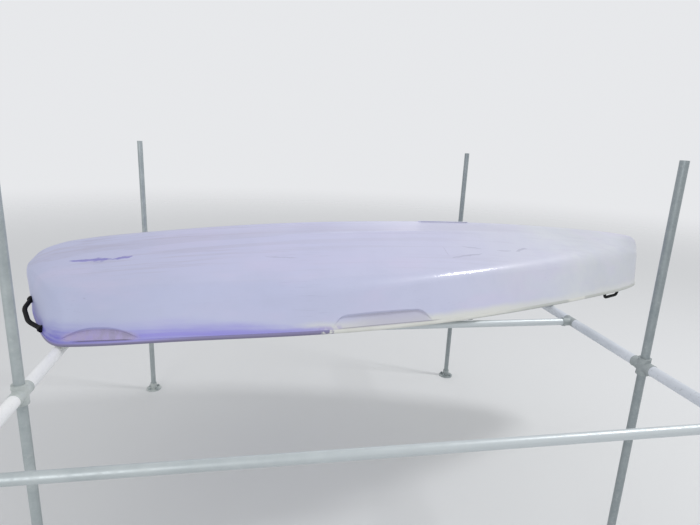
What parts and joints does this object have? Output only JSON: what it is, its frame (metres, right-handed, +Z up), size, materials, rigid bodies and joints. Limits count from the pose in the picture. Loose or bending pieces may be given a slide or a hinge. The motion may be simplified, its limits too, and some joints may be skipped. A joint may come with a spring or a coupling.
{
  "type": "sailing dinghy hull stored upside down on a rack bay",
  "caption": "Moulded single-hander sailing dinghy hull turned upside down on a four-post tubular rack, with cockpit, mast tube and gudgeons.",
  "frame": {"origin": "middle of the floor under the whole assembly's box", "axes": "+X along the boat from stern to bow, +Y across the boat to its starboard side, away from the rack's front rail, +Z up; the boat lies deck down"},
  "size_m": [3.5392, 2.7062, 1.9],
  "materials": {
    "hull_polyethylene": "chalky, sun-faded moulded polyethylene",
    "deck_polyethylene": "textured moulded polyethylene",
    "sleeve_plastic": "weathered white pipe",
    "cast_fitting": "galvanised casting",
    "galvanised_tube": "hot-dip galvanised, dull",
    "webbing": "woven webbing",
    "handle_rubber": "ribbed black tube",
    "stainless_steel": "stainless",
    "lid_plastic": "moulded black",
    "black_plastic": "moulded black"
  },
  "bodies": {
    "hatch_lid": {"hatch_lid": "lid_plastic"},
    "boat_and_rack": {"arm_bow": "galvanised_tube", "arm_stern": "galvanised_tube", "bow_handle_port": "handle_rubber", "bow_handle_starboard": "handle_rubber", "cross_sleeves_bow": "sleeve_plastic", "cross_sleeves_stern": "sleeve_plastic", "cross_tube_bow": "galvanised_tube", "cross_tube_stern": "galvanised_tube", "daggerboard_case_cap": "black_plastic", "deck_moulding": "deck_polyethylene", "drain_bung": "black_plastic", "foot_far_bow": "cast_fitting", "foot_far_stern": "cast_fitting", "foot_near_bow": "cast_fitting", "foot_near_stern": "cast_fitting", "front_rail": "galvanised_tube", "gudgeon_lower": "stainless_steel", "gudgeon_upper": "stainless_steel", "hatch_ring": "black_plastic", "hull_moulding": "hull_polyethylene", "inner_rail": "galvanised_tube", "jib_fairlead_port": "stainless_steel", "jib_fairlead_starboard": "stainless_steel", "mainsheet_block": "black_plastic", "mast_tube": "black_plastic", "post_cross_near_bow": "cast_fitting", "post_cross_near_stern": "cast_fitting", "post_far_bow": "galvanised_tube", "post_far_stern": "galvanised_tube", "post_near_bow": "galvanised_tube", "post_near_stern": "galvanised_tube", "post_tee_far_bow": "cast_fitting", "post_tee_far_stern": "cast_fitting", "rail_elbow_bow": "cast_fitting", "rail_elbow_stern": "cast_fitting", "rail_tee_bow": "cast_fitting", "rail_tee_stern": "cast_fitting", "stern_handle_port": "handle_rubber", "stern_handle_starboard": "handle_rubber", "toe_strap": "webbing", "toe_strap_plate_aft": "black_plastic", "toe_strap_plate_fore": "black_plastic", "traveller_eye_port": "stainless_steel", "traveller_eye_starboard": "stainless_steel"}
  },
  "joints": [
    {"name": "hatch_lid_turn", "type": "hinge", "parent": "boat_and_rack", "child": "hatch_lid", "pos_m": [0.65943, 0.24882, 1.09877], "axis": [0, 0, -1], "range_deg": [0, 90]}
  ]
}
